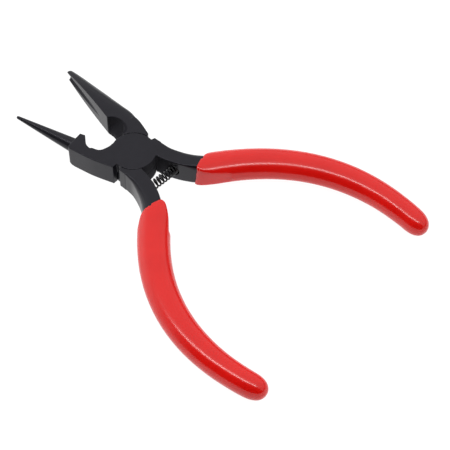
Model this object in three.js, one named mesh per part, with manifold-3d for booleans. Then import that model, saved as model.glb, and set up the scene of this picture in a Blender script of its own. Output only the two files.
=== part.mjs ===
// Round nose looping pliers with a return spring, sprung open. Millimetres, +Z up.
// The origin is on the pivot axis, at the underside of the joint. +X runs to the handles, the jaws
// point to -X, and the pliers lie flat. The round jaw's lever has its handle on the +Y side.
import * as THREE from 'three';
import { LoftGeometry } from 'three/addons/geometries/LoftGeometry.js';
import { mergeVertices } from 'three/addons/utils/BufferGeometryUtils.js';
import Module from 'manifold-3d';

// ---- driving dimensions ----
const THICKNESS = 8.5;
const MID_HEIGHT = THICKNESS / 2;

// Half-lap pivot joint
const DISC_RADIUS = 7.25;
const DISC_CLEARANCE = 0.2;
const LAP_GAP = 0.1;
const PIN_RADIUS = 2;
const RIVET_HEAD_RADIUS = 3;
const RIVET_HEAD_DEPTH = 1.1;
const RIVET_CLEARANCE = 0.06;
const JOINT_SEGMENTS = 64;
const OUTLINE_SEGMENTS = 6;

// Round jaw: a slim cone, its axis half way up the thickness
const CONE_ROOT = [-16.2, -8.19];
const CONE_TIP = [-40.45, -12.07];
const CONE_ROOT_RADIUS = 2.52;
const CONE_TIP_RADIUS = 0.48;
const CONE_SEGMENTS = 36;

// Concave jaw: a rounded taper, cut flat on its inner side, with a round channel in the flat that
// gets deeper towards the tip. Lengths along the jaw are counted from FACE_START, where the flat
// meets the wire notch.
const FACE_START = [-15.63, 4.7];
const FACE_HEADING = THREE.MathUtils.degToRad(164.5);
const FACE_LENGTH = 28;
const JAW_SEGMENTS = 60;
const JAW_STEPS = 24;
const CHANNEL_START = 4.6;
const CHANNEL_RADIUS = 1.4;
const CHANNEL_TILT = 0.075;
const CHANNEL_DROP = 0.3;
const NOTCH_STEPS = 16;
const NOTCH_BREAK_TOP = 8.4;
const NOTCH_BREAK_SLOPE = 1.15;
const NOTCH_BREAK_START = -11.4;
const BLOCK_INNER_EDGE = [[-13.2, 4.7], [-7.0, 2.9]];

// Handles, grips and return spring
const TANG_CLEARANCE = 0.15;
const GRIP_RING_POINTS = 36;
const GRIP_BODY_STEPS = 30;
const GRIP_END_STEPS = 8;
const GRIP_END_LENGTH = 6;
const GRIP_END_BLUNTNESS = 2.4;
const GRIP_END_SHARE = 0.085;
const GRIP_END_CLOSING = 0.99;
const MOUTH_LEAN = [0.07, 0.06];
const SPRING_SEAT_DEPTH = 2;
const SPRING_SEAT_RADIUS = 2;
const SPRING_COIL_RADIUS = 1.4;
const SPRING_WIRE_RADIUS = 0.28;
const SPRING_CLOSE_PITCH = 0.62;
const SPRING_TURNS = 11.5;
const SPRING_BOW = 3;
const SPRING_STEPS_PER_TURN = 10;
const SPRING_WIRE_SIDES = 6;

const BLACK_STEEL = { color: 0x37363a, roughness: 0.55, metalness: 0.6 };
const RIVET_STEEL = { color: 0x38373b, roughness: 0.5, metalness: 0.6 };
const SPRING_STEEL = { color: 0x121214, roughness: 0.4, metalness: 0.8 };
const RED_GRIP = { color: 0xdc2a24, roughness: 0.25, metalness: 0 };

// A past-the-surface length, so that a cutter never ends flush with the face it cuts
const OVERSHOOT = 1;

const wasm = await Module();
wasm.setup();

// ---- solids and meshes ----

function withoutDegenerateTriangles(index) {
  const kept = [];
  for (let i = 0; i < index.length; i += 3) {
    const [a, b, c] = [index[i], index[i + 1], index[i + 2]];
    if (a !== b && b !== c && c !== a) kept.push(a, b, c);
  }
  return kept;
}

function solidOf(geometry) {
  const plain = new THREE.BufferGeometry();
  plain.setAttribute('position', geometry.getAttribute('position'));
  plain.setIndex(geometry.getIndex());
  const merged = mergeVertices(plain);
  return new wasm.Manifold(new wasm.Mesh({
    numProp: 3,
    vertProperties: new Float32Array(merged.getAttribute('position').array),
    triVerts: new Uint32Array(withoutDegenerateTriangles(merged.getIndex().array)),
  }));
}

function meshOf(name, solid, look) {
  const { vertProperties, triVerts } = solid.getMesh();
  const geometry = new THREE.BufferGeometry();
  geometry.setAttribute('position', new THREE.Float32BufferAttribute(vertProperties, 3));
  geometry.setIndex(Array.from(triVerts));
  geometry.computeVertexNormals();
  const mesh = new THREE.Mesh(geometry, new THREE.MeshStandardMaterial(look));
  mesh.name = name;
  return mesh;
}

const points = (pairs) => pairs.map(([x, y]) => new THREE.Vector2(x, y));

// An upright plate from a plan outline
function plate(shape, low, high) {
  const geometry = new THREE.ExtrudeGeometry(shape, {
    depth: high - low, bevelEnabled: false, curveSegments: OUTLINE_SEGMENTS,
  });
  return solidOf(geometry.translate(0, 0, low));
}

function polygon(pairs) {
  return new THREE.Shape(points(pairs));
}

// A turned solid from [radius, height] pairs, on the Z axis
function turned(pairs, segments) {
  return new THREE.LatheGeometry(points(pairs), segments).rotateX(Math.PI / 2);
}

function disc(radius, low, high) {
  return solidOf(turned([[0, low], [radius, low], [radius, high], [0, high]], JOINT_SEGMENTS));
}

// Turns a solid built along +Z so that it runs along a level heading from a start point
function laidAlong(geometry, [x, y], heading) {
  geometry.rotateY(Math.PI / 2);
  geometry.rotateZ(heading);
  return solidOf(geometry.translate(x, y, MID_HEIGHT));
}

// ---- lofts ----

// A smooth curve through rows of numbers: row i is reached at t = i / (rows - 1)
function through(rows) {
  const curve = new THREE.CatmullRomCurve3(
    rows.map(([a, b, c = 0]) => new THREE.Vector3(a, b, c)), false, 'catmullrom',
  );
  return (t) => curve.getPoint(t);
}

// Lofts level sections along a plan curve. ringAt(t) gives [out, up] pairs, counted from the
// curve and half way up, at each of the stations; side is 1 for the +Y lever and -1 for its mirror image.
function loftAlong(spine, ringAt, stations, side) {
  const sections = stations.map((t) => {
    const centre = spine(t);
    const ahead = spine(Math.min(t + 1e-3, 1));
    const behind = spine(Math.max(t - 1e-3, 0));
    const heading = Math.atan2(ahead.y - behind.y, ahead.x - behind.x);
    const ring = ringAt(t).map(([out, up]) => new THREE.Vector3(
      centre.x - out * Math.sin(heading),
      side * (centre.y + out * Math.cos(heading)),
      MID_HEIGHT + up,
    ));
    return side > 0 ? ring : ring.reverse();
  });
  return solidOf(new LoftGeometry(sections, { capStart: true, capEnd: true }));
}

const signedPower = (value, power) => Math.sign(value) * Math.abs(value) ** power;

// A ring between an ellipse and a rectangle: x and y are its half sizes and z its squareness
function squareRing({ x, y, z }, count) {
  return Array.from({ length: count }, (_, k) => {
    const angle = 2 * Math.PI * k / count;
    return [x * signedPower(Math.cos(angle), 2 / z), y * signedPower(Math.sin(angle), 2 / z)];
  });
}

// ---- handles ----

// Stations of the steel handle, from the joint to the end inside the grip
const HANDLE_SPINE = through([
  [4.6, 5.9], [8.2, 6.35], [12, 7.65], [15, 9.1], [18, 11.1],
  [22.6, 15.1], [33.26, 26.34], [47.76, 35.34], [62.14, 39.34], [78, 39.5],
]);
// Half width, half height
const HANDLE_SIZE = through([
  [2.5, 4.25], [2.6, 4.25], [2.8, 4.25], [2.95, 4.22], [3.15, 4.1],
  [3.2, 3.6], [3.1, 2.8], [3.0, 2.6], [2.7, 2.5], [2.0, 2.3],
]);
// Corner rounding: the upper outer corner, the upper inner one, both lower ones
const HANDLE_ROUNDING = through([
  [0.3, 0.2, 0.2], [0.9, 0.2, 0.2], [1.6, 0.2, 0.3], [2.1, 0.5, 0.4], [2.5, 1.5, 0.6],
  [2.2, 1.8, 1.6], [1.6, 1.6, 1.6], [1.6, 1.6, 1.6], [1.6, 1.6, 1.6], [1.4, 1.4, 1.4],
]);
const HANDLE_STEPS = 36;
const HANDLE_STATIONS = Array.from({ length: HANDLE_STEPS + 1 }, (_, i) => i / HANDLE_STEPS);
const CORNER_POINTS = 5;
const CORNER_STRETCH = 1.3;

function handleRing(t, extra) {
  const size = HANDLE_SIZE(t);
  const rounding = HANDLE_ROUNDING(t);
  const ring = [];
  for (const quarter of [0, 1, 2, 3]) {
    const outward = quarter === 0 || quarter === 3 ? 1 : -1;
    const upward = quarter < 2 ? 1 : -1;
    const upperWide = outward > 0 ? rounding.x : rounding.y;
    const wide = upward > 0 ? upperWide : rounding.z;
    const tall = Math.min(CORNER_STRETCH * wide, size.y - 0.2);
    for (let k = 0; k <= CORNER_POINTS; k += 1) {
      const angle = (quarter + k / CORNER_POINTS) * Math.PI / 2;
      ring.push([
        outward * (size.x - wide + extra) + wide * Math.cos(angle),
        upward * (size.y - tall + extra) + tall * Math.sin(angle),
      ]);
    }
  }
  return ring;
}

function handle(side) {
  return loftAlong(HANDLE_SPINE, (t) => handleRing(t, 0), HANDLE_STATIONS, side);
}

// The room that the handle takes inside its grip
function handlePocket(side) {
  const end = HANDLE_SPINE(1);
  const stretched = (t) => (t < 1 ? HANDLE_SPINE(t) : end.clone().setX(end.x + 2 * TANG_CLEARANCE));
  return loftAlong(stretched, (t) => handleRing(t, TANG_CLEARANCE), HANDLE_STATIONS, side);
}

// ---- grips ----

const GRIP_SPINE = through([
  [14.4, 4.3], [20.38, 12.38], [26.57, 19.91], [33.26, 26.34], [40.39, 31.51], [47.76, 35.34],
  [55.1, 37.9], [62.14, 39.34], [68.68, 39.9], [74.56, 39.81], [80.6, 39.25], [87.3, 38.05],
]);
// Half width, half height, squareness of the section
const GRIP_SIZE = through([
  [5.2, 4.5, 2.3], [5.2, 4.5, 2.3], [5.15, 4.4, 2.2], [5.1, 4.26, 2.15],
  [5.0, 4.16, 2.15], [4.88, 4.1, 2.15], [4.72, 4.07, 2.15], [4.52, 4.04, 2.15],
  [4.3, 4.0, 2.15], [4.13, 3.98, 2.15], [3.96, 3.95, 2.15], [3.74, 3.9, 2.15],
]);

function gripRing(t) {
  const size = GRIP_SIZE(t);
  const toEnd = GRIP_SPINE(t).distanceTo(GRIP_SPINE(1));
  const closing = THREE.MathUtils.clamp(1 - toEnd / GRIP_END_LENGTH, 0, GRIP_END_CLOSING);
  const narrowing = (1 - closing ** GRIP_END_BLUNTNESS) ** (1 / GRIP_END_BLUNTNESS);
  return squareRing({ x: size.x * narrowing, y: size.y * narrowing, z: size.z }, GRIP_RING_POINTS);
}

// Even steps along the grip's body, then steps that close up over its round end
function gripStations() {
  const stations = [];
  for (let i = 0; i < GRIP_BODY_STEPS; i += 1) {
    stations.push((1 - GRIP_END_SHARE) * i / GRIP_BODY_STEPS);
  }
  for (let i = 0; i <= GRIP_END_STEPS; i += 1) {
    stations.push(1 - GRIP_END_SHARE * (1 - Math.sin(i / GRIP_END_STEPS * Math.PI / 2)));
  }
  return stations;
}

// The grip's plan with its slanting, round-cornered mouth
function gripPlan(side) {
  const shape = new THREE.Shape();
  const mirrored = (pairs) => points(pairs.map(([x, y]) => [x, side * y]));
  const [start, ...mouth] = mirrored([
    [28.3, 14.8], [25.4, 11.6], [22.9, 9.4], [20.8, 8.1], [19.4, 8.2], [18.8, 9.4],
    [18.1, 11.6], [17.7, 13.6], [17.7, 15.2], [18.2, 16.9], [19.5, 19.1],
  ]);
  shape.moveTo(start.x, start.y);
  shape.splineThru(mouth);
  for (const corner of mirrored([[19.5, 60], [100, 60], [100, 5]])) shape.lineTo(corner.x, corner.y);
  return shape;
}

// The mouth leans: its lower edge lies further towards the joint than its upper edge
function gripMouthCut(side) {
  const [leanX, leanY] = MOUTH_LEAN;
  return plate(gripPlan(side), -OVERSHOOT, THICKNESS + OVERSHOOT)
    .translate(0, 0, -THICKNESS)
    .transform([1, 0, 0, 0, 0, 1, 0, 0, leanX, side * leanY, 1, 0, 0, 0, THICKNESS, 1]);
}

function grip(side) {
  return loftAlong(GRIP_SPINE, gripRing, gripStations(), side)
    .intersect(gripMouthCut(side))
    .subtract(handlePocket(side));
}

// ---- joint ----

// Room for the other lever's disc, in the half of the thickness that it turns in
function discRecess(low, high) {
  return disc(DISC_RADIUS + DISC_CLEARANCE, low, high);
}

function rivetProfile(extra, low, high) {
  const cone = RIVET_HEAD_RADIUS - PIN_RADIUS;
  const step = extra > 0 ? cone * OVERSHOOT / RIVET_HEAD_DEPTH : 0;
  return [
    [0, low],
    [RIVET_HEAD_RADIUS + step + extra, low],
    [PIN_RADIUS + extra, RIVET_HEAD_DEPTH],
    [PIN_RADIUS + extra, THICKNESS - RIVET_HEAD_DEPTH],
    [RIVET_HEAD_RADIUS + step + extra, high],
    [0, high],
  ];
}

function rivet() {
  return solidOf(turned(rivetProfile(0, 0, THICKNESS), JOINT_SEGMENTS));
}

// The countersunk hole that the rivet turns in
function rivetHole() {
  const profile = rivetProfile(RIVET_CLEARANCE, -OVERSHOOT, THICKNESS + OVERSHOOT);
  return solidOf(turned(profile, JOINT_SEGMENTS));
}

// ---- return spring ----

// Each seat: a point on a handle's inner face, and the angle between the seat's bore and the Y axis
const ROUND_SIDE_SEAT = { x: 12.5, y: 4.72, tilt: THREE.MathUtils.degToRad(8) };
const CONCAVE_SIDE_SEAT = { x: 11.75, y: -4.48, tilt: THREE.MathUtils.degToRad(12) };

// The point in a seat's bore at a depth below the handle's face
function seatPoint({ x, y, tilt }, depth) {
  return new THREE.Vector2(x - depth * Math.sin(tilt), y + Math.sign(y) * depth * Math.cos(tilt));
}

// The axis of the spring bows gently outwards, and runs straight into both seats
const SPRING_END_GAP = 0.1;
const SPRING_END_DEPTH = SPRING_SEAT_DEPTH - SPRING_END_GAP - SPRING_WIRE_RADIUS;
const SPRING_AXIS = new THREE.CubicBezierCurve(
  seatPoint(CONCAVE_SIDE_SEAT, SPRING_END_DEPTH),
  seatPoint(CONCAVE_SIDE_SEAT, -SPRING_BOW),
  seatPoint(ROUND_SIDE_SEAT, -SPRING_BOW),
  seatPoint(ROUND_SIDE_SEAT, SPRING_END_DEPTH),
);
const SPRING_LENGTH = SPRING_AXIS.getLength();

// How far along its axis the wire is after so many turns: the end turns are wound close
function springAlong(turn) {
  const openPitch = (SPRING_LENGTH - 2 * SPRING_CLOSE_PITCH) / (SPRING_TURNS - 2);
  if (turn < 1) return turn * SPRING_CLOSE_PITCH;
  if (turn > SPRING_TURNS - 1) return SPRING_LENGTH - (SPRING_TURNS - turn) * SPRING_CLOSE_PITCH;
  return SPRING_CLOSE_PITCH + (turn - 1) * openPitch;
}

class SpringWire extends THREE.Curve {
  getPoint(t, target = new THREE.Vector3()) {
    const along = springAlong(t * SPRING_TURNS) / SPRING_LENGTH;
    const centre = SPRING_AXIS.getPointAt(along);
    const ahead = SPRING_AXIS.getTangentAt(along);
    const coil = 2 * Math.PI * t * SPRING_TURNS;
    const out = SPRING_COIL_RADIUS * Math.cos(coil);
    return target.set(
      centre.x + out * ahead.y,
      centre.y - out * ahead.x,
      MID_HEIGHT + SPRING_COIL_RADIUS * Math.sin(coil),
    );
  }
}

function returnSpring() {
  const section = new THREE.Shape();
  section.absarc(0, 0, SPRING_WIRE_RADIUS, 0, 2 * Math.PI);
  return solidOf(new THREE.ExtrudeGeometry(section, {
    steps: SPRING_TURNS * SPRING_STEPS_PER_TURN,
    curveSegments: SPRING_WIRE_SIDES / 2,
    bevelEnabled: false,
    extrudePath: new SpringWire(),
  }));
}

// The blind hole in a handle's inner face that holds one end of the spring
function springSeat(seat) {
  const bore = turned([
    [0, -SPRING_SEAT_DEPTH],
    [SPRING_SEAT_RADIUS, -SPRING_SEAT_DEPTH],
    [SPRING_SEAT_RADIUS, OVERSHOOT],
    [0, OVERSHOOT],
  ], CONE_SEGMENTS);
  const outOfFace = -Math.sign(seat.y) * (Math.PI / 2 - seat.tilt);
  return laidAlong(bore, [seat.x, seat.y], outOfFace);
}

// ---- round jaw lever: upper half of the lap joint ----

// The block behind the cone, with the scallop and the tooth on its inner side
function roundJawBlock() {
  const shape = new THREE.Shape();
  shape.moveTo(-4.5, -1.2);
  shape.lineTo(-6.9, -1.8);
  shape.lineTo(-7.1, -2.4);
  shape.splineThru(points([[-7.15, -3.8], [-8.3, -6.6], [-10.8, -7.65]]));
  shape.lineTo(-11.35, -8.15);
  shape.splineThru(points([[-12.6, -8.0], [-13.9, -7.4]]));
  shape.lineTo(-16.0, -5.35);
  shape.lineTo(-17.65, -5.95);
  shape.lineTo(-17.4, -8.1);
  shape.lineTo(-17.0, -11.6);
  shape.quadraticCurveTo(-16.9, -12.7, -15.8, -12.45);
  shape.splineThru(points([[-9, -11.35], [-5, -10.35], [-0.6, -9.0]]));
  shape.lineTo(-0.4, -6);
  return plate(shape, 0, THICKNESS).subtract(roundJawUnderside());
}

// The swept corner under the block's front end
function roundJawUnderside() {
  const shape = new THREE.Shape();
  shape.moveTo(-19, -OVERSHOOT);
  shape.lineTo(-14.8, -OVERSHOOT);
  shape.lineTo(-14.8, 0);
  shape.quadraticCurveTo(-16.8, 0.2, -17.6, 2.6);
  shape.lineTo(-19, 2.6);
  const geometry = new THREE.ExtrudeGeometry(shape, {
    depth: 12, bevelEnabled: false, curveSegments: 6,
  });
  return solidOf(geometry.rotateX(Math.PI / 2).translate(0, -2, 0));
}

function roundJawCone() {
  const [x0, y0] = CONE_ROOT;
  const length = Math.hypot(CONE_TIP[0] - x0, CONE_TIP[1] - y0);
  const heading = Math.atan2(CONE_TIP[1] - y0, CONE_TIP[0] - x0);
  const tipStart = length - CONE_TIP_RADIUS;
  const profile = turned([
    [0, 0],
    [CONE_ROOT_RADIUS, 0],
    [CONE_TIP_RADIUS, tipStart],
    [0.7 * CONE_TIP_RADIUS, tipStart + 0.7 * CONE_TIP_RADIUS],
    [0, length],
  ], CONE_SEGMENTS);
  return laidAlong(profile, CONE_ROOT, heading);
}

// The full-thickness neck between the disc and the handle's first station
function handleNeck(side) {
  const outline = [[1.0, 6.5], [1.6, 8.35], [4.1, 8.42], [8.0, 6.6], [6.75, 3.4], [4, 2]];
  return plate(polygon(outline.map(([x, y]) => [x, side * y])), 0, THICKNESS);
}

function roundJawLever() {
  const upperLow = MID_HEIGHT + LAP_GAP / 2;
  return roundJawBlock()
    .add(handle(1))
    .add(handleNeck(1))
    .subtract(discRecess(-OVERSHOOT, upperLow))
    .add(disc(DISC_RADIUS, upperLow, THICKNESS))
    .add(roundJawCone())
    .subtract(springSeat(ROUND_SIDE_SEAT))
    .subtract(rivetHole());
}

// ---- concave jaw lever: lower half of the lap joint ----

function facePoint(along, back) {
  return [
    FACE_START[0] + along * Math.cos(FACE_HEADING) + back * Math.sin(FACE_HEADING),
    FACE_START[1] + along * Math.sin(FACE_HEADING) - back * Math.cos(FACE_HEADING),
  ];
}

// Centre line of the jaw: length along the face, depth behind it
const JAW_SPINE = through([
  [-9, 3.2], [-7, 3.1], [-5, 2.95], [-2, 2.7], [1, 2.25], [5, 1.65],
  [9, 1.3], [13, 0.97], [17, 0.68], [21, 0.42], [24, 0.3], [25.7, 0.22],
].map(([along, back]) => facePoint(along, back)));
// Half depth, half height, squareness of the section (2 is an ellipse)
const JAW_SIZE = through([
  [3.0, 3.6, 6], [4.07, 4.25, 6], [5.13, 4.25, 5], [5.48, 4.25, 4], [5.35, 4.25, 3.2], [5.18, 4.25, 2.6],
  [4.78, 4.15, 2.2], [4.2, 3.85, 2], [3.52, 3.35, 2], [2.85, 2.65, 2], [2.2, 2.02, 2], [1.75, 1.62, 2],
]);

// The nose runs from inside the block to the tip, and only the part behind its face is kept
function concaveJawNose() {
  const stations = Array.from({ length: JAW_STEPS + 1 }, (_, i) => i / JAW_STEPS);
  const behindFace = polygon([
    FACE_START, facePoint(FACE_LENGTH, 0), facePoint(FACE_LENGTH, 12), facePoint(-12, 12),
    ...BLOCK_INNER_EDGE.toReversed(),
  ]);
  const jawRing = (t) => squareRing(JAW_SIZE(t), JAW_SEGMENTS);
  return loftAlong(JAW_SPINE, jawRing, stations, 1).intersect(plate(behindFace, 0, THICKNESS));
}

// The channel that the round jaw closes on: its axis starts one radius off the face and leans in
function concaveJawChannel() {
  const length = FACE_LENGTH - CHANNEL_START;
  const bore = [[0, 0], [CHANNEL_RADIUS, 0], [CHANNEL_RADIUS, length], [0, length]];
  const start = facePoint(CHANNEL_START, -CHANNEL_RADIUS);
  return laidAlong(turned(bore, CONE_SEGMENTS), start, FACE_HEADING - CHANNEL_TILT)
    .translate(0, 0, -CHANNEL_DROP);
}

// The full-thickness shoulder between the joint and the nose
function concaveJawBlock() {
  const shape = new THREE.Shape();
  shape.moveTo(-0.2, 5);
  shape.lineTo(-0.6, 7.2);
  shape.lineTo(-1.2, 8.3);
  shape.splineThru(points([[-5, 9.7], [-7.5, 10.4], [-9.5, 10.6]]));
  shape.lineTo(-9.5, 6);
  for (const [x, y] of BLOCK_INNER_EDGE) shape.lineTo(x, y);
  shape.lineTo(-3, 0.5);
  return plate(shape, 0, THICKNESS);
}

// The round wire notch beside the joint. Its wall drops straight from the top to a break, which
// rises towards the joint, and then leans out to meet the inner face near the underside.
function wireNotch() {
  const rim = new THREE.SplineCurve(points([
    [-15.61, 4.67], [-14.85, 5.55], [-13.71, 6.21], [-12.2, 6.65],
    [-10.4, 6.5], [-8.9, 5.55], [-8.1, 4.5], [-7.5, 2.7],
  ])).getPoints(NOTCH_STEPS);
  const corners = [[-15.2, 4.6, 0.8], [-7.2, 2.5, 0.3]];
  for (const { x, y } of rim) {
    const wallFoot = NOTCH_BREAK_TOP + NOTCH_BREAK_SLOPE * Math.min(0, x - NOTCH_BREAK_START);
    corners.push([x, y, THICKNESS + OVERSHOOT], [x, y, wallFoot]);
  }
  for (const x of [-16.1, -7.2]) {
    for (const z of [-OVERSHOOT, THICKNESS + OVERSHOOT]) corners.push([x, 0.5, z]);
  }
  return wasm.Manifold.hull(corners);
}

function concaveJawLever() {
  const lowerHigh = MID_HEIGHT - LAP_GAP / 2;
  return concaveJawBlock()
    .add(concaveJawNose())
    .subtract(concaveJawChannel())
    .subtract(wireNotch())
    .add(handle(-1))
    .add(handleNeck(-1))
    .subtract(discRecess(lowerHigh, THICKNESS + OVERSHOOT))
    .add(disc(DISC_RADIUS, 0, lowerHigh))
    .subtract(springSeat(CONCAVE_SIDE_SEAT))
    .subtract(rivetHole());
}

// ---- the object ----

const pliers = new THREE.Group();
pliers.add(
  meshOf('round_jaw_lever', roundJawLever(), BLACK_STEEL),
  meshOf('concave_jaw_lever', concaveJawLever(), BLACK_STEEL),
  meshOf('pivot_rivet', rivet(), RIVET_STEEL),
  meshOf('return_spring', returnSpring(), SPRING_STEEL),
  meshOf('round_side_grip', grip(1), RED_GRIP),
  meshOf('concave_side_grip', grip(-1), RED_GRIP),
);

export default pliers;
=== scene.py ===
"""Round nose looping pliers with red dipped grips: the looks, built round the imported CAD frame.

Lengths are in metres, +Z is up. The pivot axis is the Z axis, the jaws point to -X and the
handles run to +X. The levers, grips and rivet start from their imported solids, so they can't drift
from the CAD. The return spring is wound here, finer than in the CAD and bowed a little upwards.
"""
import math

import bpy
import numpy as np
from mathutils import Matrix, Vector


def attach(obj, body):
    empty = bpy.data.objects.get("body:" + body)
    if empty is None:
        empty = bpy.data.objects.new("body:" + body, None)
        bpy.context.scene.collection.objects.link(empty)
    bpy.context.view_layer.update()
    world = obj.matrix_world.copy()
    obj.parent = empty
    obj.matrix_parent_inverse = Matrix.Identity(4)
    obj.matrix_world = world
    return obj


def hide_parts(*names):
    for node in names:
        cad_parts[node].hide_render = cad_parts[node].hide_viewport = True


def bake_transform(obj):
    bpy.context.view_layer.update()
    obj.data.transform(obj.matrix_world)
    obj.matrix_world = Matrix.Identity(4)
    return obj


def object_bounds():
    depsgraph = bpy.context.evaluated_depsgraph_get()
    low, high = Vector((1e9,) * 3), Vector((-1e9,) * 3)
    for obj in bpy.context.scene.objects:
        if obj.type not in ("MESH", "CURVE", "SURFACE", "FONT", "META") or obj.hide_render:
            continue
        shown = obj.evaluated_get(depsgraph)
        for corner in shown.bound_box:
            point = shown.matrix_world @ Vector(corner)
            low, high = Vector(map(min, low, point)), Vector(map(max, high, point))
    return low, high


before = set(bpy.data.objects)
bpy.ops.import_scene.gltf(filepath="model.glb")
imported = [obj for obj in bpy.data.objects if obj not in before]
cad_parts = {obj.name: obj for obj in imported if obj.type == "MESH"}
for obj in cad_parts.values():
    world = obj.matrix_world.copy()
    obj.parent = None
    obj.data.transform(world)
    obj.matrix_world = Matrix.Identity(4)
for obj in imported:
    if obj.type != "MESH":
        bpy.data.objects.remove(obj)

MM = 0.001
CAD_LOW, CAD_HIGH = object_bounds()

# ---- camera: looks down on the pliers from beside the concave jaw's handle ----
CAMERA_TARGET = Vector((38.78, -0.47, 4.14)) * MM
CAMERA_DISTANCE = 536.3 * MM
CAMERA_AZIMUTH = math.radians(40.85)
CAMERA_ELEVATION = math.radians(54.40)
CAMERA_LENS = 138.39
CAMERA_SENSOR = 36.0
CAMERA_CLIP = (0.01, 10)

# ---- studio: a white tent behind and above the pliers, open and dark on the photographer's side ----
# Brightness of the tent by the height of the direction, 0 level and 1 straight up.
TENT = [(0.0, 0.9), (0.04, 0.15), (0.18, 0.15), (0.32, 0.95)]
OPEN_SIDE = (0.293, -0.956, 0.0)
# How far a direction leans to the open side where it is fully dark, and where it is fully bright.
TENT_EDGE = (0.26, 0.16)
OPEN_BRIGHTNESS = 0.03
# The X of the directions where the white reflector beside the jaws begins and is at its brightest.
REFLECTOR_EDGES = (-0.45, -0.9)
REFLECTOR_BRIGHTNESS = 1.35
# The strip light hangs along the tent's edge, over the pliers. Lengths in metres, power in watts.
STRIP_MIDDLE_X = 0.04
STRIP_HEIGHT = 0.9
STRIP_FORWARD = 0.17
STRIP_LEFT_END = 0.7
STRIP_RIGHT_END = 0.4
STRIP_WIDTH = 0.08
STRIP_POWER = 4.3
FLOOR_HALF = 1.5
FLOOR_GAP = 0.05 * MM
FLOOR_COLOURS = ((0.11, 0.11, 0.11), (0.13, 0.13, 0.13))
FLOOR_MOTTLING = 12
FLOOR_GLOW = 0.98

# ---- finishes: darkest and lightest tone, range of roughness, and relief ----
# The patterns are noise, with their scales in cycles per metre.
MOTTLING_ENDS = (0.3, 0.7)
COAT_COLOURS = ((0.0042, 0.0040, 0.0062), (0.0068, 0.0065, 0.0095))
COAT_ROUGHNESS = (0.27, 0.36)
COAT_REFLECTION = 0.34
COAT_TINT = (0.92, 0.90, 1.0, 1.0)
COAT_RELIEF = {"scale": 5200, "height": 0.004 * MM, "strength": 0.25}
WIRE_COLOURS = ((0.003, 0.003, 0.004), (0.010, 0.010, 0.012))
WIRE_STREAK_ENDS = (0.35, 0.75)
WIRE_STREAKS = 1500
WIRE_ROUGHNESS = (0.22, 0.4)
WIRE_RELIEF = {"scale": 9000, "height": 0.003 * MM, "strength": 0.4}
VINYL_COLOURS = ((0.70, 0.005, 0.003), (0.77, 0.008, 0.005))
VINYL_DRIFT = 90
VINYL_ROUGHNESS = (0.16, 0.24)
VINYL_SMEARS = 700
VINYL_RELIEF = {"scale": 320, "height": 0.02 * MM, "strength": 0.25}
VINYL_IOR = 1.5
# Light that enters the vinyl and comes out near by: its share, how far, and by colour.
VINYL_SOAK = 0.15
VINYL_SOAK_DEPTH = 0.8 * MM
VINYL_SOAK_COLOURS = (1.0, 0.1, 0.05)

# ---- places the polishing wheel can't reach: the jaw's wire notch, and the walls behind the pivot ----
# Each is an upright oval column: the middle and the radii of the oval in millimetres.
NOTCH = {"middle": (-11.5, 3.9), "radii": (4.9, 3.3)}
FORK = {"middle": (6.2, 0.5), "radii": (6.6, 7.5)}
OVAL_EDGE = (0.88, 1.0)
# The upright part of a surface's normal where it stops being a wall, and where it is a flat.
WALL_LEAN = (0.5, 0.9)
UNPOLISHED_ROUGHNESS = 0.85

# ---- shapes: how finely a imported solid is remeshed, and how much its edges are smoothed ----
STEEL_VOXEL = 0.1 * MM
GRIP_VOXEL = 0.24 * MM
STEEL_SMOOTHING = 8
GRIP_SMOOTHING = 24
SMOOTHING_FACTOR = 0.5
STEEL_FACES_KEPT = 0.23
GRIP_FACES_KEPT = 1.0
EDGE_REGAIN = 0.05 * MM
# The thickness of the lap joint and the handles, and how much the rivet's heads are spread and raised.
THICKNESS = 8.5 * MM
RIVET_SPREAD = 1.06
RIVET_PROUD = 0.05 * MM

# ---- return spring: its axis is a cubic curve between the seats in the two handles ----
SPRING_COIL_RADIUS = 1.4 * MM
SPRING_WIRE_RADIUS = 0.28 * MM
SPRING_CLOSE_PITCH = 0.62 * MM
SPRING_TURNS = 11.5
SPRING_STEPS_PER_TURN = 36
SPRING_WIRE_SIDES = 12
SPRING_BOW = 3.0 * MM
SPRING_RISE = 1.0 * MM
SPRING_END_DEPTH = 1.62 * MM
SPRING_AXIS_SAMPLES = 400
# The share of the axis looked ahead and back for its direction.
SPRING_LOOK_ROUND = 0.002
ROUND_SIDE_SEAT = {"point": Vector((12.5, 4.72)) * MM, "tilt": math.radians(8)}
CONCAVE_SIDE_SEAT = {"point": Vector((11.75, -4.48)) * MM, "tilt": math.radians(12)}


# ---- node helpers ----

def new_material(name):
    """A node material, its node tree and its Principled shader."""
    material = bpy.data.materials.new(name)
    material.use_nodes = True
    tree = material.node_tree
    return material, tree, tree.nodes["Principled BSDF"]


def noise(tree, scale, detail=3.0):
    """3-D noise in the object's own coordinates, scale in cycles per metre."""
    coordinates = tree.nodes.new("ShaderNodeTexCoord")
    texture = tree.nodes.new("ShaderNodeTexNoise")
    texture.inputs["Scale"].default_value = scale
    texture.inputs["Detail"].default_value = detail
    tree.links.new(coordinates.outputs["Object"], texture.inputs["Vector"])
    return texture.outputs["Fac"]


def ramp(tree, source, stops):
    """A colour ramp on source. stops are (position, colour) pairs."""
    node = tree.nodes.new("ShaderNodeValToRGB")
    elements = node.color_ramp.elements
    while len(elements) < len(stops):
        elements.new(0.5)
    for element, (position, colour) in zip(elements, stops):
        element.position = position
        element.color = (*colour, 1.0)
    tree.links.new(source, node.inputs["Fac"])
    return node.outputs["Color"]


def two_tone(tree, source, colours, ends=MOTTLING_ENDS):
    """From one colour to another as source goes from one end to the other."""
    return ramp(tree, source, list(zip(ends, colours)))


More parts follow.
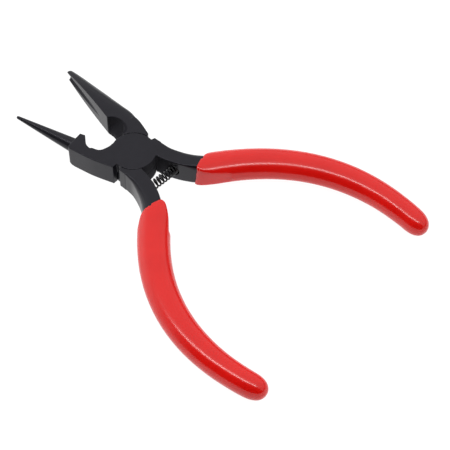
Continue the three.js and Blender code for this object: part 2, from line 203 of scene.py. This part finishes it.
def mapped(tree, source, values, edges=(0.0, 1.0)):
    """source mapped from the two edges to the two values, held level outside them."""
    node = tree.nodes.new("ShaderNodeMapRange")
    node.inputs["From Min"].default_value, node.inputs["From Max"].default_value = edges
    node.inputs["To Min"].default_value, node.inputs["To Max"].default_value = values
    tree.links.new(source, node.inputs["Value"])
    return node.outputs["Result"]


def add_relief(tree, shader, relief):
    """Fine noise relief on the shader's surface, its height in metres."""
    node = tree.nodes.new("ShaderNodeBump")
    node.inputs["Distance"].default_value = relief["height"]
    node.inputs["Strength"].default_value = relief["strength"]
    tree.links.new(noise(tree, relief["scale"], detail=2), node.inputs["Height"])
    tree.links.new(node.outputs["Normal"], shader.inputs["Normal"])


def math_node(tree, operation, first, second):
    """One arithmetic operation on two values."""
    node = tree.nodes.new("ShaderNodeMath")
    node.operation = operation
    tree.links.new(first, node.inputs[0])
    tree.links.new(second, node.inputs[1])
    return node.outputs["Value"]


# ---- materials ----

def oval_share(tree, oval):
    """1 inside an upright oval column and 0 outside it, in the object's own coordinates."""
    middle, radii = oval["middle"], oval["radii"]
    coordinates = tree.nodes.new("ShaderNodeTexCoord")
    place = tree.nodes.new("ShaderNodeMapping")
    place.vector_type = "TEXTURE"
    place.inputs["Location"].default_value = (middle[0] * MM, middle[1] * MM, 0)
    place.inputs["Scale"].default_value = (radii[0] * MM, radii[1] * MM, 1)
    tree.links.new(coordinates.outputs["Object"], place.inputs["Vector"])
    flat = tree.nodes.new("ShaderNodeVectorMath")
    flat.operation = "MULTIPLY"
    flat.inputs[1].default_value = (1, 1, 0)
    tree.links.new(place.outputs["Vector"], flat.inputs[0])
    distance = tree.nodes.new("ShaderNodeVectorMath")
    distance.operation = "LENGTH"
    tree.links.new(flat.outputs["Vector"], distance.inputs[0])
    return mapped(tree, distance.outputs["Value"], (1.0, 0.0), OVAL_EDGE)


def wall_share(tree):
    """1 on upright walls and 0 on the flat top and bottom."""
    coordinates = tree.nodes.new("ShaderNodeTexCoord")
    split = tree.nodes.new("ShaderNodeSeparateXYZ")
    tree.links.new(coordinates.outputs["Normal"], split.inputs["Vector"])
    level = tree.nodes.new("ShaderNodeMath")
    level.operation = "ABSOLUTE"
    tree.links.new(split.outputs["Z"], level.inputs[0])
    return mapped(tree, level.outputs["Value"], (1.0, 0.0), WALL_LEAN)


def unpolished_share(tree):
    """1 where the steel was left rough: everywhere in the notch, and on the walls of the fork."""
    notch = oval_share(tree, NOTCH)
    fork = math_node(tree, "MULTIPLY", oval_share(tree, FORK), wall_share(tree))
    return math_node(tree, "MAXIMUM", notch, fork)


def black_coat(name, mottling_scale, smear_scale, smear_detail):
    """Satin black coat: faint mottling, smears in its gloss, and fine grain. Also gives the smears."""
    material, tree, shader = new_material(name)
    colour = two_tone(tree, noise(tree, mottling_scale, detail=4), COAT_COLOURS)
    tree.links.new(colour, shader.inputs["Base Color"])
    smears = mapped(tree, noise(tree, smear_scale, detail=smear_detail), COAT_ROUGHNESS)
    tree.links.new(smears, shader.inputs["Roughness"])
    add_relief(tree, shader, COAT_RELIEF)
    shader.inputs["Specular IOR Level"].default_value = COAT_REFLECTION
    shader.inputs["Specular Tint"].default_value = COAT_TINT
    return material, smears


def coated_steel():
    """The coat on the levers, dull where the polishing wheel can't reach."""
    material, smears = black_coat("coated_steel", mottling_scale=260, smear_scale=520, smear_detail=5)
    tree = material.node_tree
    finish = tree.nodes.new("ShaderNodeMix")
    tree.links.new(unpolished_share(tree), finish.inputs["Factor"])
    tree.links.new(smears, finish.inputs["A"])
    finish.inputs["B"].default_value = UNPOLISHED_ROUGHNESS
    tree.links.new(finish.outputs["Result"], tree.nodes["Principled BSDF"].inputs["Roughness"])
    return material


def rivet_steel():
    """The same coat on the rivet, with finer mottling and smears."""
    material, _ = black_coat("rivet_steel", mottling_scale=400, smear_scale=900, smear_detail=3)
    return material


def spring_steel():
    """Drawn wire, blackened: nearly black, with brighter streaks where the oxide is thin."""
    material, tree, shader = new_material("spring_steel")
    streaks = noise(tree, WIRE_STREAKS, detail=4)
    colour = two_tone(tree, streaks, WIRE_COLOURS, WIRE_STREAK_ENDS)
    tree.links.new(colour, shader.inputs["Base Color"])
    tree.links.new(mapped(tree, streaks, WIRE_ROUGHNESS), shader.inputs["Roughness"])
    add_relief(tree, shader, WIRE_RELIEF)
    shader.inputs["Specular IOR Level"].default_value = COAT_REFLECTION
    return material


def red_vinyl():
    """Glossy dipped vinyl: even red with a slow drift in tone, and a faint waviness from dipping."""
    material, tree, shader = new_material("red_vinyl")
    colour = two_tone(tree, noise(tree, VINYL_DRIFT), VINYL_COLOURS)
    tree.links.new(colour, shader.inputs["Base Color"])
    gloss = mapped(tree, noise(tree, VINYL_SMEARS, detail=4), VINYL_ROUGHNESS)
    tree.links.new(gloss, shader.inputs["Roughness"])
    add_relief(tree, shader, VINYL_RELIEF)
    shader.inputs["IOR"].default_value = VINYL_IOR
    shader.inputs["Subsurface Weight"].default_value = VINYL_SOAK
    shader.inputs["Subsurface Radius"].default_value = VINYL_SOAK_COLOURS
    shader.inputs["Subsurface Scale"].default_value = VINYL_SOAK_DEPTH
    return material


def floor_paint():
    """A white sheet lit from below, so that shadows on it hardly show."""
    material, tree, shader = new_material("floor_paint")
    colour = two_tone(tree, noise(tree, FLOOR_MOTTLING), FLOOR_COLOURS)
    tree.links.new(colour, shader.inputs["Base Color"])
    shader.inputs["Roughness"].default_value = 0.9
    shader.inputs["Specular IOR Level"].default_value = 0.1
    shader.inputs["Emission Color"].default_value = (1, 1, 1, 1)
    shader.inputs["Emission Strength"].default_value = FLOOR_GLOW
    return material


# ---- meshes ----

def add_object(name, mesh, material):
    """A new object in the scene with this mesh, in this one material."""
    piece = bpy.data.objects.new(name, mesh)
    bpy.context.scene.collection.objects.link(piece)
    mesh.materials.clear()
    mesh.materials.append(material)
    return piece


def refined(node, name, voxel, smoothing, kept, material):
    """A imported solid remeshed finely, its faceted curves smoothed and its edges rounded off."""
    piece = add_object(name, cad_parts[node].data.copy(), material)
    remesh = piece.modifiers.new("remesh", "REMESH")
    remesh.mode = "VOXEL"
    remesh.voxel_size = voxel
    remesh.adaptivity = 0.0
    smooth = piece.modifiers.new("smooth", "SMOOTH")
    smooth.factor = SMOOTHING_FACTOR
    smooth.iterations = smoothing
    regain = piece.modifiers.new("regain", "DISPLACE")
    regain.strength = EDGE_REGAIN
    regain.mid_level = 0.0
    if kept < 1:
        thin = piece.modifiers.new("thin", "DECIMATE")
        thin.ratio = kept
    graph = bpy.context.evaluated_depsgraph_get()
    mesh = bpy.data.meshes.new_from_object(piece.evaluated_get(graph))
    piece.modifiers.clear()
    piece.data = mesh
    mesh.name = name
    mesh.materials.clear()
    mesh.materials.append(material)
    mesh.polygons.foreach_set("use_smooth", [True] * len(mesh.polygons))
    return piece


def seat_point(seat, depth):
    """The point in a spring seat's bore at a depth below the handle's face."""
    x, y = seat["point"]
    side = math.copysign(1, y)
    return np.array((
        x - depth * math.sin(seat["tilt"]),
        y + side * depth * math.cos(seat["tilt"]),
        THICKNESS / 2,
    ))


def bezier(corners, t):
    """The point of a cubic curve at t, from 0 to 1."""
    a, b, c, d = corners
    s = 1 - t
    return s ** 3 * a + 3 * s * s * t * b + 3 * s * t * t * c + t ** 3 * d


def even_axis(corners):
    """A function that gives the cubic curve's point at a share of its length, and that length."""
    spots = np.array([bezier(corners, t) for t in np.linspace(0, 1, SPRING_AXIS_SAMPLES)])
    steps = np.linalg.norm(np.diff(spots, axis=0), axis=1)
    along = np.concatenate(([0], np.cumsum(steps)))
    length = along[-1]

    def at(share):
        return np.array([np.interp(share * length, along, spots[:, i]) for i in range(3)])

    return at, length


def spring_share(turn, length):
    """How far along its axis the wire is after so many turns: the end turns are wound close."""
    close_pitch = SPRING_CLOSE_PITCH / length
    open_pitch = (1 - 2 * close_pitch) / (SPRING_TURNS - 2)
    if turn < 1:
        return turn * close_pitch
    if turn > SPRING_TURNS - 1:
        return 1 - (SPRING_TURNS - turn) * close_pitch
    return close_pitch + (turn - 1) * open_pitch


def spring_line():
    """Points along the centre of the spring's wire."""
    rise = np.array((0, 0, SPRING_RISE))
    corners = [
        seat_point(CONCAVE_SIDE_SEAT, SPRING_END_DEPTH),
        seat_point(CONCAVE_SIDE_SEAT, -SPRING_BOW) + rise,
        seat_point(ROUND_SIDE_SEAT, -SPRING_BOW) + rise,
        seat_point(ROUND_SIDE_SEAT, SPRING_END_DEPTH),
    ]
    at, length = even_axis(corners)
    line = []
    for step in range(int(SPRING_TURNS * SPRING_STEPS_PER_TURN) + 1):
        turn = step / SPRING_STEPS_PER_TURN
        share = spring_share(turn, length)
        centre = at(share)
        ahead = at(min(share + SPRING_LOOK_ROUND, 1)) - at(max(share - SPRING_LOOK_ROUND, 0))
        ahead /= np.linalg.norm(ahead)
        sideways = np.array((ahead[1], -ahead[0], 0))
        up = np.array((0, 0, 1))
        angle = 2 * math.pi * turn
        line.append(centre + SPRING_COIL_RADIUS * (math.cos(angle) * sideways + math.sin(angle) * up))
    return np.array(line)


def wire_mesh(name, line, radius, sides):
    """A round wire along a line of points, closed at both ends."""
    tangents = np.gradient(line, axis=0)
    tangents /= np.linalg.norm(tangents, axis=1)[:, None]
    out = np.cross(tangents[0], (0, 0, 1.0))
    vertices = []
    for spot, tangent in zip(line, tangents):
        out = out - (out @ tangent) * tangent
        out /= np.linalg.norm(out)
        other = np.cross(tangent, out)
        for k in range(sides):
            turn = 2 * math.pi * k / sides
            vertices.append(spot + radius * (math.cos(turn) * out + math.sin(turn) * other))
    faces = []
    for ring in range(len(line) - 1):
        for k in range(sides):
            a, b = ring * sides + k, ring * sides + (k + 1) % sides
            faces.append((a, b, b + sides, a + sides))
    last = (len(line) - 1) * sides
    faces.append(tuple(reversed(range(sides))))
    faces.append(tuple(range(last, last + sides)))
    mesh = bpy.data.meshes.new(name)
    mesh.from_pydata([tuple(v) for v in vertices], [], faces)
    mesh.polygons.foreach_set("use_smooth", [True] * len(faces))
    mesh.update()
    return mesh


# ---- pieces ----

def make_levers(steel):
    """Both levers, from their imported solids."""
    for node, body in (("round_jaw_lever", "round_jaw_half"), ("concave_jaw_lever", "concave_jaw_half")):
        lever = refined(node, node + "_steel", STEEL_VOXEL, STEEL_SMOOTHING, STEEL_FACES_KEPT, steel)
        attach(lever, body)
        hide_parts(node)


def make_grips(vinyl):
    """Both grips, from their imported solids."""
    for node, body in (("round_side_grip", "round_jaw_half"), ("concave_side_grip", "concave_jaw_half")):
        grip = refined(node, node + "_vinyl", GRIP_VOXEL, GRIP_SMOOTHING, GRIP_FACES_KEPT, vinyl)
        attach(grip, body)
        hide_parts(node)


def make_rivet(steel):
    """The rivet, its heads spread a little so that they close over the edge of their recess."""
    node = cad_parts["pivot_rivet"]
    mesh = node.data.copy()
    mesh.name = "pivot_rivet_steel"
    middle = THICKNESS / 2
    for vertex in mesh.vertices:
        vertex.co.x *= RIVET_SPREAD
        vertex.co.y *= RIVET_SPREAD
        vertex.co.z += math.copysign(RIVET_PROUD, vertex.co.z - middle)
    rivet = add_object("pivot_rivet_steel", mesh, steel)
    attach(rivet, "concave_jaw_half")
    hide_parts("pivot_rivet")


def make_spring(steel):
    """The return spring, wound along its bowed axis between the seats in the two handles."""
    mesh = wire_mesh("return_spring_wire", spring_line(), SPRING_WIRE_RADIUS, SPRING_WIRE_SIDES)
    spring = add_object("return_spring_wire", mesh, steel)
    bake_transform(spring)
    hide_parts("return_spring")


# ---- stage ----

def make_floor():
    """A flat sheet just under the pliers."""
    half = FLOOR_HALF
    mesh = bpy.data.meshes.new("floor")
    level = CAD_LOW.z - FLOOR_GAP
    corners = [(-half, -half, level), (half, -half, level), (half, half, level), (-half, half, level)]
    mesh.from_pydata(corners, [], [(0, 1, 2, 3)])
    add_object("floor", mesh, floor_paint())


def aim(thing, target):
    """Turns a camera to look at a point."""
    direction = target - thing.location
    thing.rotation_mode = "QUATERNION"
    thing.rotation_quaternion = direction.to_track_quat("-Z", "Y")


def make_strip_light():
    """A long strip light along the edge of the tent's roof, shining straight down."""
    light = bpy.data.lights.new("strip_light", "AREA")
    light.shape = "RECTANGLE"
    light.size = STRIP_LEFT_END + STRIP_RIGHT_END
    light.size_y = STRIP_WIDTH
    light.energy = STRIP_POWER
    lamp = bpy.data.objects.new("strip_light", light)
    bpy.context.scene.collection.objects.link(lamp)
    forward = Vector(OPEN_SIDE)
    right = Vector((-forward.y, forward.x, 0))
    middle = (STRIP_RIGHT_END - STRIP_LEFT_END) / 2
    above = Vector((STRIP_MIDDLE_X, 0, STRIP_HEIGHT))
    lamp.location = above + STRIP_FORWARD * forward + middle * right
    lamp.rotation_euler = (0, 0, math.atan2(right.y, right.x))


def make_world():
    """The tent, its dark open side, and a white reflector on the jaws' side."""
    world = bpy.data.worlds.new("studio")
    bpy.context.scene.world = world
    world.use_nodes = True
    tree = world.node_tree
    background = tree.nodes["Background"]
    direction = tree.nodes.new("ShaderNodeTexCoord").outputs["Generated"]
    split = tree.nodes.new("ShaderNodeSeparateXYZ")
    tree.links.new(direction, split.inputs["Vector"])
    tent = ramp(tree, split.outputs["Z"], [(height, (grey, grey, grey)) for height, grey in TENT])
    towards_open = tree.nodes.new("ShaderNodeVectorMath")
    towards_open.operation = "DOT_PRODUCT"
    towards_open.inputs[1].default_value = OPEN_SIDE
    tree.links.new(direction, towards_open.inputs[0])
    closed = mapped(tree, towards_open.outputs["Value"], (OPEN_BRIGHTNESS, 1.0), TENT_EDGE)
    reflector = mapped(tree, split.outputs["X"], (0.0, REFLECTOR_BRIGHTNESS), REFLECTOR_EDGES)
    room = math_node(tree, "MULTIPLY", tent, closed)
    brightness = math_node(tree, "MAXIMUM", room, reflector)
    tree.links.new(brightness, background.inputs["Color"])
    background.inputs["Strength"].default_value = 1.0


def make_camera():
    """The photographer's camera, without depth of field."""
    camera = bpy.data.cameras.new("camera")
    camera.lens = CAMERA_LENS
    camera.sensor_width = CAMERA_SENSOR
    camera.clip_start, camera.clip_end = CAMERA_CLIP
    holder = bpy.data.objects.new("camera", camera)
    bpy.context.scene.collection.objects.link(holder)
    level = math.cos(CAMERA_ELEVATION)
    back = Vector((
        math.sin(CAMERA_AZIMUTH) * level,
        -math.cos(CAMERA_AZIMUTH) * level,
        math.sin(CAMERA_ELEVATION),
    ))
    holder.location = CAMERA_TARGET + CAMERA_DISTANCE * back
    aim(holder, CAMERA_TARGET)
    bpy.context.scene.camera = holder


bpy.context.scene.view_settings.view_transform = "Standard"
make_camera()
make_world()
make_floor()
make_strip_light()
make_levers(coated_steel())
make_grips(red_vinyl())
make_rivet(rivet_steel())
make_spring(spring_steel())
